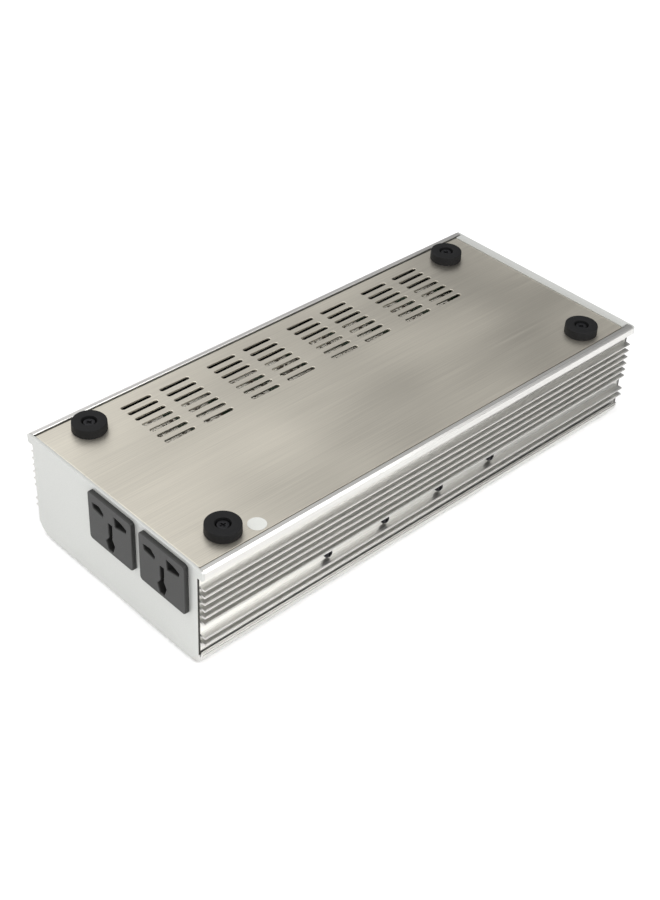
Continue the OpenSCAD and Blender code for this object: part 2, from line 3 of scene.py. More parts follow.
import math
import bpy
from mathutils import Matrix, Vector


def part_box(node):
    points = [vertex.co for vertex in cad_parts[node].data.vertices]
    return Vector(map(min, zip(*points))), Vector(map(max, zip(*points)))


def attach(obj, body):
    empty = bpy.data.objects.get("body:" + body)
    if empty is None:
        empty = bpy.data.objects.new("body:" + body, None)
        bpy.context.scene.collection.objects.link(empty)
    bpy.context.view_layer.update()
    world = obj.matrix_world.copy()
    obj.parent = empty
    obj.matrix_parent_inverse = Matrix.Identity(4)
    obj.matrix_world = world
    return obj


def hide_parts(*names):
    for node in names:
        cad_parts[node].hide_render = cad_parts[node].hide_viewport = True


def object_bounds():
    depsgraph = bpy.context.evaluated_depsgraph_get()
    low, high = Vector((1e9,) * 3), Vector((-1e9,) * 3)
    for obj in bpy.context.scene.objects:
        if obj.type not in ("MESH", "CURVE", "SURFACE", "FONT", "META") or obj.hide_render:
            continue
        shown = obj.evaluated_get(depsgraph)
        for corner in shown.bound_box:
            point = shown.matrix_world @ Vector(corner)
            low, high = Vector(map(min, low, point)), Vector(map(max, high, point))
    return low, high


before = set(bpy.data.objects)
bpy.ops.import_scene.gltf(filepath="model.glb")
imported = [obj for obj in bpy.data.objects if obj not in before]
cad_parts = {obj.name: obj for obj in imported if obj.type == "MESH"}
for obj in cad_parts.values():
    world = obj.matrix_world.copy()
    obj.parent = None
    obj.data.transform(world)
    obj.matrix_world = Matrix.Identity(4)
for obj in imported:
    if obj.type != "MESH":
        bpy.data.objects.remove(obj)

from types import SimpleNamespace

import bmesh
import bpy
from bpy.props import FloatProperty, FloatVectorProperty, IntProperty, PointerProperty
from mathutils import Matrix, Vector

bl_info = {
    "name": "Power inverter",
    "version": (1, 0, 0),
    "blender": (4, 5, 0),
    "location": "3D View > Sidebar > Inverter",
    "description": "Makes the pieces and finishes of a finned aluminium power inverter",
    "category": "Object",
}

MM = 0.001
CAD_BOX = [list(corner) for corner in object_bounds()]
CENTRE = (Vector(CAD_BOX[0]) + Vector(CAD_BOX[1])) / 2
FEET = ("foot_1", "foot_2", "foot_3", "foot_4")
SHARP_ANGLE = math.radians(20)


# ---------- small tools ----------

def linear(colour):
    """Turns an sRGB hex colour such as #c8c4ba into linear RGBA."""
    channels = [int(colour[i:i + 2], 16) / 255 for i in (1, 3, 5)]
    return [c / 12.92 if c <= 0.04045 else ((c + 0.055) / 1.055) ** 2.4 for c in channels] + [1.0]


def tones(colour, dark, light):
    """A darker and a lighter linear RGBA of one linear colour, for the two ends of a ramp."""
    return [[*(min(1.0, c * share) for c in colour[:3]), 1.0] for share in (dark, light)]


def in_mm(group):
    """A property group's values by name, with its lengths in millimetres."""
    values = {}
    for key in group.__annotations__:
        value = getattr(group, key)
        values[key] = value / MM if group.bl_rna.properties[key].subtype == "DISTANCE" else value
    return SimpleNamespace(**values)


def middle(node):
    """The centre of a CAD node's box."""
    low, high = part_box(node)
    return (low + high) / 2


def place(name, bm, material, slot, body, *nodes):
    """Finishes a bmesh as a piece: normals, shading, finish, body and the CAD nodes it stands for."""
    bmesh.ops.remove_doubles(bm, verts=bm.verts, dist=0.002 * MM)
    bmesh.ops.recalc_face_normals(bm, faces=bm.faces)
    mesh = bpy.data.meshes.new(name)
    bm.to_mesh(mesh)
    bm.free()
    mesh.shade_smooth()
    mesh.set_sharp_from_angle(angle=SHARP_ANGLE)
    mesh.materials.append(material)
    piece = bpy.data.objects.new(name, mesh)
    bpy.context.scene.collection.objects.link(piece)
    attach(piece, body)
    if nodes:
        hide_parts(*nodes)
    return piece


def paint(material, *nodes):
    """Gives CAD nodes whose shape is kept their finish."""
    for node in nodes:
        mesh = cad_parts[node].data
        mesh.materials.clear()
        mesh.materials.append(material)


def edged_copy(node, width, angle=28, segments=2):
    """A merged copy of a CAD node with its hard edges broken by a small round."""
    bm = bmesh.new()
    bm.from_mesh(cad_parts[node].data)
    bmesh.ops.remove_doubles(bm, verts=bm.verts, dist=0.005 * MM)
    bmesh.ops.dissolve_limit(bm, angle_limit=math.radians(0.5), verts=bm.verts, edges=bm.edges)
    hard = [e for e in bm.edges if e.is_manifold and e.calc_face_angle(0) > math.radians(angle)]
    bmesh.ops.bevel(bm, geom=hard, offset=width * MM, offset_type="OFFSET", affect="EDGES",
                    segments=segments, profile=0.5, material=-1, clamp_overlap=True)
    return bm


def block(bm, low, high, edge=0.3):
    """A box between two corners in millimetres, with its edges rounded."""
    size = Vector(high) - Vector(low)
    matrix = Matrix.Translation((Vector(low) + size / 2) * MM) @ Matrix.Diagonal((*(size * MM), 1))
    made = bmesh.ops.create_cube(bm, size=1, matrix=matrix)
    edges = list({e for v in made["verts"] for e in v.link_edges})
    bmesh.ops.bevel(bm, geom=edges, offset=edge * MM, offset_type="OFFSET", affect="EDGES",
                    segments=2, profile=0.5, material=-1)


def turned(bm, profile, centre, axis=(0, 0, 1), steps=64):
    """Spins a closed outline of (radius, height) points in millimetres about an axis."""
    axis = Vector(axis)
    out = axis.orthogonal().normalized()
    points = [Vector(centre) + (out * r + axis * h) * MM for r, h in profile]
    verts = [bm.verts.new(p) for p in points]
    edges = [bm.edges.new((a, b)) for a, b in zip(verts, verts[1:] + verts[:1])]
    bmesh.ops.spin(bm, geom=verts + edges, cent=centre, axis=axis, angle=math.tau,
                   steps=steps, use_merge=True)


def arc(centre, radius, start, end, steps=5):
    """Points on a round stretch of an outline; angles in degrees."""
    return [(centre[0] + radius * math.cos(math.radians(start + (end - start) * i / steps)),
             centre[1] + radius * math.sin(math.radians(start + (end - start) * i / steps)))
            for i in range(steps + 1)]


def round_loop(bm, x, y, width, height, radius, segments=24):
    """An outline with round corners: a circle whose four quarters are drawn apart."""
    turn = Matrix.Rotation(math.pi / segments, 4, "Z")
    verts = bmesh.ops.create_circle(bm, radius=radius, segments=segments, matrix=turn)["verts"]
    for v in verts:
        v.co.x += x + math.copysign(width / 2 - radius, v.co.x)
        v.co.y += y + math.copysign(height / 2 - radius, v.co.y)
    return verts


def point_loop(bm, points, rounding, segments=3):
    """A closed outline through a few points, with its corners rounded."""
    verts = [bm.verts.new((x, y, 0)) for x, y in points]
    for a, b in zip(verts, verts[1:] + verts[:1]):
        bm.edges.new((a, b))
    bmesh.ops.bevel(bm, geom=verts, offset=rounding, offset_type="OFFSET", affect="VERTICES",
                    segments=segments, profile=0.5, material=-1)


def plate_from_loops(bm, depth, edge, segments=2):
    """Fills the outlines in a bmesh as a plate with holes, in millimetres, its face at z 0."""
    bmesh.ops.triangle_fill(bm, use_beauty=True, edges=bm.edges[:], normal=(0, 0, 1))
    extruded = bmesh.ops.extrude_face_region(bm, geom=bm.faces[:], use_keep_orig=True)
    lowered = [g for g in extruded["geom"] if isinstance(g, bmesh.types.BMVert)]
    bmesh.ops.translate(bm, verts=lowered, vec=(0, 0, -depth))
    bmesh.ops.recalc_face_normals(bm, faces=bm.faces)
    if edge:
        rim = [e for e in bm.edges if e.is_manifold and e.calc_face_angle(0) > math.radians(60)
               and max(v.co.z for v in e.verts) > -1e-4 and min(v.co.z for v in e.verts) > -1e-4]
        bmesh.ops.bevel(bm, geom=rim, offset=edge, offset_type="OFFSET", affect="EDGES",
                        segments=segments, profile=0.5, material=-1)


def stacked(layers):
    """Puts several meshes made apart into one."""
    whole = bmesh.new()
    for layer in layers:
        mesh = bpy.data.meshes.new("layer")
        layer.to_mesh(mesh)
        layer.free()
        whole.from_mesh(mesh)
        bpy.data.meshes.remove(mesh)
    return whole


# ---------- materials ----------

def add(tree, kind, links=None, **settings):
    """Adds a node, sets its properties or input values by name, and links its inputs."""
    made = tree.nodes.new(kind)
    for name, value in settings.items():
        if hasattr(made, name):
            setattr(made, name, value)
        else:
            made.inputs[name.replace("_", " ")].default_value = value
    for name, output in (links or {}).items():
        tree.links.new(output, made.inputs[name])
    return made


def finish_named(name, colour, metallic, roughness, **sockets):
    """Starts a material from its even linear colour and gloss. Other shader inputs are set by name."""
    material = bpy.data.materials.new(name)
    material.use_nodes = True
    shader = material.node_tree.nodes["Principled BSDF"]
    shader.inputs["Base Color"].default_value = colour
    shader.inputs["Metallic"].default_value = metallic
    shader.inputs["Roughness"].default_value = roughness
    for socket, value in sockets.items():
        shader.inputs[socket.replace("_", " ")].default_value = value
    return material


def pattern(tree, kind, spacing, **settings):
    """A texture on object coordinates whose features are about spacing millimetres apart."""
    place_at = add(tree, "ShaderNodeTexCoord").outputs["Object"]
    mapping = add(tree, "ShaderNodeMapping", {"Vector": place_at}, Scale=[1 / (s * MM) for s in spacing])
    texture = add(tree, kind, {"Vector": mapping.outputs["Vector"]}, **settings)
    return texture.outputs["Distance" if kind == "ShaderNodeTexVoronoi" else "Fac"]


def vary(material, factor, colours=None, roughness=None, bump=None, span=(0.3, 0.7)):
    """Lets a pattern drive colour, roughness and height; bump is a height in millimetres."""
    tree = material.node_tree
    shader = tree.nodes["Principled BSDF"]
    if colours:
        ramp = add(tree, "ShaderNodeValToRGB", {"Fac": factor})
        for element, position, colour in zip(ramp.color_ramp.elements, span, colours):
            element.position = position
            element.color = colour
        tree.links.new(ramp.outputs["Color"], shader.inputs["Base Color"])
    if roughness:
        band = add(tree, "ShaderNodeMapRange", {"Value": factor}, From_Min=span[0], From_Max=span[1],
                   To_Min=roughness[0], To_Max=roughness[1])
        tree.links.new(band.outputs["Result"], shader.inputs["Roughness"])
    if bump:
        height = add(tree, "ShaderNodeBump", {"Height": factor}, Strength=0.6, Distance=bump * MM)
        tree.links.new(height.outputs["Normal"], shader.inputs["Normal"])
    return material


def grained(name, colours, metallic, roughness, spacing, bump, **sockets):
    """A finish with one even noise grain, which is most moulded, sawn and plated surfaces."""
    colours = [linear(c) if isinstance(c, str) else c for c in colours]
    material = finish_named(name, colours[0], metallic, sum(roughness) / 2, **sockets)
    factor = pattern(material.node_tree, "ShaderNodeTexNoise", spacing, Scale=1.0, Detail=3.0)
    return vary(material, factor, colours, roughness, bump)


def anodised_extrusion(colour):
    """Clear anodised extrusion: die lines along the case give thin light and dark streaks."""
    colours = tones(colour, 0.87, 1.12)
    material = finish_named("anodised_extruded_aluminium", colours[1], 1.0, 0.36)
    lines = pattern(material.node_tree, "ShaderNodeTexNoise", (160, 0.5, 0.5), Scale=1.0, Detail=4.0)
    return vary(material, lines, colours, (0.29, 0.43), 0.012)


def champagne_sheet(colour):
    """Champagne anodised sheet, brushed along its length, so its sheen breaks into fine lines."""
    colours = tones(colour, 0.9, 1.13)
    material = finish_named("champagne_brushed_aluminium", colours[1], 1.0, 0.4)
    tree = material.node_tree
    brush = pattern(tree, "ShaderNodeTexNoise", (70, 0.42, 4), Scale=1.0, Detail=4.0)
    cloud = pattern(tree, "ShaderNodeTexNoise", (95, 70, 60), Scale=1.0, Detail=1.0)
    both = add(tree, "ShaderNodeMath", {0: brush, 1: cloud}, operation="ADD")
    halved = add(tree, "ShaderNodeMath", {0: both.outputs[0]}, operation="MULTIPLY")
    halved.inputs[1].default_value = 0.5
    return vary(material, halved.outputs[0], colours, (0.34, 0.46), 0.006, (0.36, 0.64))


def silver_sheet(colour):
    """Folded sheet with a silver satin coat: pale, even, with a fine flake."""
    return grained("silver_satin_coated_sheet", tones(colour, 0.94, 1.03), 0.35, (0.36, 0.46),
                   (0.8, 0.8, 0.8), 0.004)


def moulded_rubber(colour):
    """Moulded rubber: matt, with a faint bloom that greys it in patches."""
    return grained("moulded_black_rubber", tones(colour, 0.6, 1.45), 0.0, (0.58, 0.74),
                   (0.7, 0.7, 0.7), 0.02, Specular_IOR_Level=0.2)


def moulded_abs(colour):
    """Fine spark-eroded texture on dark grey ABS, which spreads the highlight."""
    return grained("textured_dark_abs", tones(colour, 0.75, 1.25), 0.0, (0.36, 0.48),
                   (0.45, 0.45, 0.45), 0.015, Specular_IOR_Level=0.35)


def circuit_board(colour):
    """Solder mask over glass cloth: the weave shows as a faint square pattern."""
    colours = tones(colour, 0.7, 1.7)
    material = finish_named("solder_masked_glass_epoxy", colours[0], 0.0, 0.38, IOR=1.5)
    weave = pattern(material.node_tree, "ShaderNodeTexVoronoi", (1.3, 1.3, 1.3), Scale=1.0)
    return vary(material, weave, colours, (0.3, 0.46), 0.01, (0.1, 0.8))


def tinned_copper():
    """Hand-tinned copper: solder that froze in soft waves, bright with dull grey islands."""
    colours = (linear("#4a3f35"), linear("#f4f0e6"))
    material = finish_named("tinned_copper", colours[1], 0.25, 0.35)
    waves = pattern(material.node_tree, "ShaderNodeTexNoise", (4.5, 4.5, 4.5), Scale=1.0, Detail=4.0,
                    Distortion=0.6)
    return vary(material, waves, colours, (0.5, 0.3), 0.25, (0.4, 0.48))


def make_finishes(colours):
    """Every finish by the slot that it belongs to, in the colours chosen in the sidebar."""
    return {
        "extruded_aluminium": anodised_extrusion(colours.case),
        "champagne_sheet": champagne_sheet(colours.cover),
        "silver_sheet": silver_sheet(colours.end_plates),
        "black_rubber": moulded_rubber(colours.rubber),
        "socket_plastic": moulded_abs(colours.sockets),
        "circuit_board": circuit_board(colours.board),
        "tinned": tinned_copper(),
        # black oxide is thin and slightly oily, so edges keep a soft gleam; on the side screws this black is
        # painted shade
        "black_screw": grained("black_oxide_steel", ("#1b1b1d", "#2e2e31"), 0.8, (0.34, 0.48),
                               (0.5, 0.5, 0.5), 0.01),
        # zinc crystals give a faint mottle
        "plated_steel": grained("zinc_plated_steel", ("#a9a9a6", "#c4c4c1"), 1.0, (0.22, 0.36),
                                (0.9, 0.9, 0.9), 0.008),
        # drawn wire keeps lines along its length under the nickel
        "chrome_wire": grained("nickel_plated_wire", ("#b9b7b2", "#d2d0cb"), 1.0, (0.14, 0.24),
                               (0.6, 0.6, 0.6), 0.006),
        # uncoated paper fibre
        "paper": grained("uncoated_white_paper", tones(colours.dot, 0.93, 1.05), 0.0, (0.8, 0.92),
                         (0.35, 0.35, 0.35), 0.01),
        # painted shade: a dark finish for the end plates' lower side edges, standing in for the shade they
        # fall in
        "painted_shade_edge": grained("plate_edge_shade_finish", ("#2a2927", "#4b4946"), 0.7, (0.5, 0.65),
                                (0.3, 0.3, 0.3), 0.01),
        # painted shade: a dull near-black for the film that stands in for the deep shade under the outer vent
        # slots
        "shade_film": grained("near_black_painted_shade", ("#0c0c0c", "#151515"), 0.0, (0.8, 0.92),
                              (0.5, 0.5, 0.5), 0.01, Specular_IOR_Level=0.15),
        # turned brass, lightly tarnished
        "brass": grained("turned_brass", ("#a8843f", "#cda657"), 1.0, (0.22, 0.38),
                         (1.2, 0.4, 0.4), 0.008),
        # glass fibre shows as a dry, streaky surface
        "fan_plastic": grained("glass_filled_nylon", ("#151515", "#232323"), 0.0, (0.46, 0.62),
                               (1.6, 0.5, 0.5), 0.012, IOR=1.53),
        # gloss moulded caps with a slight orange peel
        "red_plastic": grained("moulded_red_nylon", tones(colours.red, 0.85, 1.15), 0.0, (0.24, 0.36),
                               (1.1, 1.1, 1.1), 0.012, IOR=1.53),
        "black_plastic": grained("moulded_black_nylon", tones(colours.black, 0.65, 1.4), 0.0, (0.26, 0.4),
                                 (1.1, 1.1, 1.1), 0.012, IOR=1.53),
        # tinted epoxy lenses, clear enough to glow at the rim
        "green_lens": grained("tinted_green_epoxy", ("#1f8a35", "#37ab4c"), 0.0, (0.08, 0.16),
                              (2, 2, 2), 0.004, IOR=1.53, Transmission_Weight=0.35),
        "red_lens": grained("tinted_red_epoxy", ("#a01c1a", "#c02a26"), 0.0, (0.08, 0.16),
                            (2, 2, 2), 0.004, IOR=1.53, Transmission_Weight=0.35),
        # pressed and sintered powder
        "ferrite": grained("sintered_ferrite", ("#2b2b2d", "#3c3c3f"), 0.0, (0.55, 0.72),
                           (0.6, 0.6, 0.6), 0.03),
        # turns of tape, each edge a fine line round the winding
        "winding_tape": grained("yellow_polyester_tape", ("#b98f1d", "#d8ac2e"), 0.0, (0.26, 0.4),
                                (6, 6, 0.9), 0.03),
        # a thin film shrunk tight, glossy, with faint stretch marks along the can
        "capacitor_sleeve": grained("shrink_sleeve", ("#15203f", "#1e2c54"), 0.0, (0.24, 0.36),
                                    (1.5, 1.5, 5), 0.015),
        # filled epoxy, dull, with a fine pitted skin
        "transistor_body": grained("moulded_epoxy", ("#17171a", "#262629"), 0.0, (0.5, 0.66),
                                   (0.5, 0.5, 0.5), 0.012),
        # saw marks run across the bar
        "mill_aluminium": grained("sawn_aluminium", ("#a8a8a8", "#cfcfce"), 1.0, (0.3, 0.46),
                                  (0.5, 6, 6), 0.015),
        # soft filled silicone, chalky, without a highlight
        "thermal_pad": grained("silicone_pad", ("#8f8f8a", "#a5a5a0"), 0.0, (0.7, 0.85),
                               (1, 1, 1), 0.02),
        # a thick dipped coat, slightly lumpy over the pressed powder
        "powder_core": grained("epoxy_coated_iron_powder", ("#b39a2a", "#cdb23a"), 0.0, (0.4, 0.55),
                               (1, 1, 1), 0.03),
        # clear enamel over copper keeps a sharp warm highlight
        "copper": grained("enamelled_copper", ("#9a4a22", "#b9622f"), 1.0, (0.16, 0.28),
                          (1.4, 1.4, 1.4), 0.006),
        # glossy tinted moulding
        "fuse_plastic": grained("tinted_fuse_plastic", ("#c3661a", "#dd7d26"), 0.0, (0.18, 0.3),
                                (1.5, 1.5, 1.5), 0.006, IOR=1.58),
        # soft vinyl, half matt, a little uneven along each lead
        "red_insulation": grained("red_pvc", ("#8e1613", "#a81f1b"), 0.0, (0.44, 0.58),
                                  (1, 1, 1), 0.015),
        "black_insulation": grained("black_pvc", ("#161617", "#232325"), 0.0, (0.44, 0.58),
                                    (1, 1, 1), 0.015),
        "blue_insulation": grained("blue_pvc", ("#1c3f8c", "#2850a8"), 0.0, (0.44, 0.58),
                                   (1, 1, 1), 0.015),
    }


FINISH = {}


# ---------- sizes and colours that a user would change ----------

class CoverSizes(bpy.types.PropertyGroup):
    """Sizes of the bottom cover."""

    slot_length: FloatProperty(name="Slot length", description="Length of a vent slot", default=22 * MM,
                               subtype="DISTANCE")
    slot_width: FloatProperty(name="Slot width", description="Width of a vent slot", default=3 * MM,
                              subtype="DISTANCE")
    slot_pitch: FloatProperty(name="Slot pitch", description="Spacing of slots in a group", default=7 * MM,
                              subtype="DISTANCE")
    slots: IntProperty(name="Slots", description="Slots in one group", default=7, min=1)
    first_x: FloatProperty(name="First slot", description="From the cover's end to the slots",
                           default=53.8 * MM, subtype="DISTANCE")
    first_y: FloatProperty(name="Outer slot", description="From the middle to the outer slot",
                           default=63.9 * MM, subtype="DISTANCE")
    group_pitch: FloatProperty(name="Group pitch", description="Between the groups of a pair",
                               default=29.45 * MM, subtype="DISTANCE")
    pair_pitch: FloatProperty(name="Pair pitch", description="Spacing of the pairs", default=66.7 * MM,
                              subtype="DISTANCE")
    pairs: IntProperty(name="Pairs", description="Pairs of slot groups", default=4, min=1)
    edge: FloatProperty(name="Slot edge", description="Round on each slot's upper edge", default=0.3 * MM,
                        subtype="DISTANCE")


class SocketSizes(bpy.types.PropertyGroup):
    """Sizes of a socket."""

    width: FloatProperty(name="Width", description="Width of the face", default=40 * MM, subtype="DISTANCE")
    height: FloatProperty(name="Height", description="Height of the face", default=35 * MM,
                          subtype="DISTANCE")
    proud: FloatProperty(name="Proud", description="Thickness of the face", default=2.8 * MM,
                         subtype="DISTANCE")
    corner: FloatProperty(name="Corner", description="Radius of the face's corners", default=2.5 * MM,
                          subtype="DISTANCE")
    pocket: FloatProperty(name="Pocket", description="Depth of the openings", default=21.3 * MM,
                          subtype="DISTANCE")


class FootSizes(bpy.types.PropertyGroup):
    """Sizes of a foot and its screw."""

    recess: FloatProperty(name="Recess", description="Radius of the hole round the screw head",
                          default=4.75 * MM, subtype="DISTANCE")
    head: FloatProperty(name="Head", description="Radius of the screw head", default=3.6 * MM,
                        subtype="DISTANCE")


class FanSizes(bpy.types.PropertyGroup):
    """Sizes of the fan's rotor."""

    blades: IntProperty(name="Blades", description="Number of blades", default=7, min=3)
    hub: FloatProperty(name="Hub", description="Radius of the hub", default=12.5 * MM, subtype="DISTANCE")
    tip: FloatProperty(name="Tip", description="Radius at the blade tips", default=27.5 * MM,
                       subtype="DISTANCE")
    twist: FloatProperty(name="Twist", description="Turn of a blade along its depth",
                         default=math.radians(24), subtype="ANGLE")


class FinishColours(bpy.types.PropertyGroup):
    """Colours of the main finishes."""

    case: FloatVectorProperty(name="Case", description="Anodised extrusion", default=linear("#d3d2cf")[:3],
                              min=0, max=1, subtype="COLOR")
    cover: FloatVectorProperty(name="Cover", description="Brushed bottom cover",
                               default=linear("#d0cbbf")[:3], min=0, max=1, subtype="COLOR")
    end_plates: FloatVectorProperty(name="End plates", description="Coated end plates",
                                    default=linear("#c0c1be")[:3], min=0, max=1, subtype="COLOR")
    rubber: FloatVectorProperty(name="Rubber", description="Rubber feet", default=linear("#121213")[:3],
                                min=0, max=1, subtype="COLOR")
    sockets: FloatVectorProperty(name="Sockets", description="Socket mouldings",
                                 default=linear("#232322")[:3], min=0, max=1, subtype="COLOR")
    dot: FloatVectorProperty(name="Dot", description="Paper dot", default=linear("#c2c3bf")[:3],
                             min=0, max=1, subtype="COLOR")
    board: FloatVectorProperty(name="Board", description="Solder mask", default=linear("#15301b")[:3],
                               min=0, max=1, subtype="COLOR")
    red: FloatVectorProperty(name="Red", description="Positive terminal", default=linear("#a91a17")[:3],
                             min=0, max=1, subtype="COLOR")
    black: FloatVectorProperty(name="Black", description="Negative terminal, switch and bezels",
                               default=linear("#18181a")[:3], min=0, max=1, subtype="COLOR")


class StageSizes(bpy.types.PropertyGroup):
    """The camera and the light."""

    azimuth: FloatProperty(name="Azimuth", description="Camera angle about the object",
                           default=math.radians(-44.97), subtype="ANGLE")
    elevation: FloatProperty(name="Elevation", description="Camera angle above the floor",
                             default=math.radians(37.82), subtype="ANGLE")
    roll: FloatProperty(name="Roll", description="Camera turn about its own axis",
                        default=math.radians(2.81), subtype="ANGLE")
    distance: FloatProperty(name="Distance", description="Camera distance", default=0.9848,
                            subtype="DISTANCE")
    aim: FloatVectorProperty(name="Aim", description="Aim from the object's centre",
                             default=(-0.0208, 0.0013, -0.0184), subtype="TRANSLATION")
    lens: FloatProperty(name="Lens", description="Focal length", default=61.94, subtype="DISTANCE_CAMERA")
    key: FloatProperty(name="Key", description="Power of the main light", default=5.5, subtype="POWER")
    front: FloatProperty(name="Front", description="Power of the light beside the camera", default=3.0,
                         subtype="POWER")
    side: FloatProperty(name="Side", description="Power of the light on the fins near the sockets",
                        default=2.5, subtype="POWER")
    world: FloatProperty(name="World", description="Strength of the surrounding light", default=1.08)
    dark_side: FloatProperty(name="Dark side", description="Share of that light at the battery end",
                             default=0.08, min=0, max=1, subtype="FACTOR")


# ---------- pieces ----------

class INVERTER_OT_finishes(bpy.types.Operator):
    """Make every finish from the chosen colours."""

    bl_idname = "inverter.finishes"
    bl_label = "Finishes"

    def execute(self, context):
        FINISH.update(make_finishes(context.scene.inverter_colours))
        return {"FINISHED"}


class INVERTER_OT_case(bpy.types.Operator):
    """Finish the extruded case."""

    bl_idname = "inverter.case"
    bl_label = "Case"

    def execute(self, context):
        paint(FINISH["extruded_aluminium"], "case_extrusion")
        return {"FINISHED"}


class INVERTER_OT_cover(bpy.types.Operator):
    """Make the slotted bottom cover."""

    bl_idname = "inverter.cover"
    bl_label = "Bottom cover"

    def execute(self, context):
        sizes = in_mm(context.scene.inverter_cover)
        low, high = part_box("bottom_cover")
        low, high = low / MM, high / MM
        bm = bmesh.new()
        size, centre = high - low, (low + high) / 2
        round_loop(bm, centre.x, centre.y, size.x, size.y, 0.6)
        for pair in range(sizes.pairs):
            for group in range(2):
                x = low.x + sizes.first_x + pair * sizes.pair_pitch + group * sizes.group_pitch
                for i in range(sizes.slots):
                    round_loop(bm, x + sizes.slot_length / 2, sizes.first_y - i * sizes.slot_pitch,
                               sizes.slot_length, sizes.slot_width, sizes.slot_width / 2 - 0.01)
        for foot in FEET:
            at = middle(foot) / MM
            round_loop(bm, at.x, at.y, 4.4, 4.4, 2.19)
        plate_from_loops(bm, size.z, sizes.edge)
        bmesh.ops.transform(bm, matrix=Matrix.Scale(MM, 4) @ Matrix.Translation((0, 0, high.z)),
                            verts=bm.verts)
        place("bottom_cover_sheet", bm, FINISH["champagne_sheet"], "champagne_sheet", "case",
              "bottom_cover")
        return {"FINISHED"}


class INVERTER_OT_end_plates(bpy.types.Operator):
    """Make the two folded end plates with softened edges, and paint shade on their lower side edges."""

    bl_idname = "inverter.end_plates"
    bl_label = "End plates"

    def execute(self, context):
        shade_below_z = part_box("bottom_cover")[0].z - 6 * MM
        for node in ("ac_end_plate", "dc_end_plate"):
            bm = edged_copy(node, 0.25)
            bm.normal_update()
            # painted shade: faces that look sideways and lie below this height get the dark edge finish,
            # where the edges fall in shade
            for face in bm.faces:
                if abs(face.normal.y) > 0.6 and face.calc_center_median().z < shade_below_z:
                    face.material_index = 1
            plate = place(node + "_folded", bm, FINISH["silver_sheet"], "silver_sheet", "case", node)
            plate.data.materials.append(FINISH["painted_shade_edge"])
        return {"FINISHED"}


def foot_screw(below, radius, seat=1.8, height=3.1, recess=1.1):
    """A pan head on a rubber foot's seat: a face with a cross recess, its body and its shank."""
    arm, half = radius * 0.52, 0.45
    face = bmesh.new()
    round_loop(face, 0, 0, 2 * radius, 2 * radius, radius - 0.01, segments=40)
    point_loop(face, [(half, half), (half, arm), (-half, arm), (-half, half), (-arm, half), (-arm, -half),
                      (-half, -half), (-half, -arm), (half, -arm), (half, -half), (arm, -half), (arm, half)],
               0.12, 2)
    plate_from_loops(face, recess, 0.3, 3)
    bmesh.ops.translate(face, verts=face.verts, vec=(0, 0, seat + height))
    body = bmesh.new()
    round_loop(body, 0, 0, 2 * radius, 2 * radius, radius - 0.01, segments=40)
    plate_from_loops(body, height - recess, 0)
    bmesh.ops.translate(body, verts=body.verts, vec=(0, 0, seat + height - recess))
    shank = bmesh.new()
    round_loop(shank, 0, 0, 4, 4, 1.99)
    plate_from_loops(shank, seat + below, 0)
    bmesh.ops.translate(shank, verts=shank.verts, vec=(0, 0, seat))
    return stacked((face, body, shank))


class INVERTER_OT_feet(bpy.types.Operator):
    """Turn the four rubber feet and finish their screws."""

    bl_idname = "inverter.feet"
    bl_label = "Feet"

    def execute(self, context):
        sizes = in_mm(context.scene.inverter_feet)
        for foot in FEET:
            low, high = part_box(foot)
            radius, height = (high.x - low.x) / 2 / MM, (high.z - low.z) / MM
            profile = [(2.2, 0.0), (radius - 0.2, 0.0), (radius, 0.3), (radius, 1.2)]
            profile += arc((radius - 0.6, height - 0.45), 0.45, 3, 90)
            profile += arc((sizes.recess + 0.25, height - 0.25), 0.25, 90, 180)
            profile += [(sizes.recess, 2.1), (sizes.recess - 0.3, 1.8), (2.2, 1.8)]
            bm = bmesh.new()
            turned(bm, profile, Vector((middle(foot).x, middle(foot).y, low.z)))
            place(foot + "_rubber", bm, FINISH["black_rubber"], "black_rubber", "case", foot)
        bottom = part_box("foot_screws")[0].z
        screws = []
        for foot in FEET:
            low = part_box(foot)[0]
            screws.append(foot_screw((low.z - bottom) / MM, sizes.head))
            bmesh.ops.transform(screws[-1], verts=screws[-1].verts, matrix=Matrix.Translation(
                (middle(foot).x, middle(foot).y, low.z)) @ Matrix.Scale(MM, 4))
        place("foot_screws_pan_head", stacked(screws), FINISH["black_screw"], "black_screw", "case",
              "foot_screws")
        return {"FINISHED"}


class INVERTER_OT_trim(bpy.types.Operator):
    """Finish the side screws, black as painted shade, and the plain paper dot."""

    bl_idname = "inverter.trim"
    bl_label = "Side screws and dot"

    def execute(self, context):
        # painted shade: the side screws take the black oxide finish, standing in for the shade in their
        # recesses between the fins
        place("clamp_screws_round", edged_copy("clamp_screws", 0.12), FINISH["black_screw"],
              "black_screw", "case", "clamp_screws")
        place("seal_dot_paper", edged_copy("seal_dot", 0.05), FINISH["paper"], "paper", "case",
              "seal_dot")
        return {"FINISHED"}


def socket_openings(bm, rounding=0.35):
    """The three openings of a universal socket, in millimetres from its middle."""
    line = [(15.8, 10.7), (9.5, 11.4), (5.6, 8.2), (6.1, 6.0), (15.0, 7.3)]
    neutral = [(-4.3, 12.7), (-10.2, 12.0), (-15.4, 10.1), (-14.8, 7.6), (-5.2, 6.0)]
    earth = [(-2.0, 4.7), (1.4, 4.7), (1.3, -2.5), (1.1, -5.6), (4.0, -9.6), (1.9, -15.2),
             (-1.8, -15.2), (-3.8, -9.6), (-1.5, -5.6), (-1.9, -2.5)]
    for outline in (line, neutral, earth):
        point_loop(bm, outline, rounding)


def socket_layer(sizes, inset, front, depth, edge, pierced):
    """One layer of a socket, lying on its back: its outline, its openings and its depth."""
    layer = bmesh.new()
    round_loop(layer, 0, 0, sizes.width - 2 * inset, sizes.height - 2 * inset, max(sizes.corner - inset, 0.6))
    if pierced:
        socket_openings(layer)
    plate_from_loops(layer, depth, edge)
    bmesh.ops.translate(layer, verts=layer.verts, vec=(0, 0, -front))
    return layer


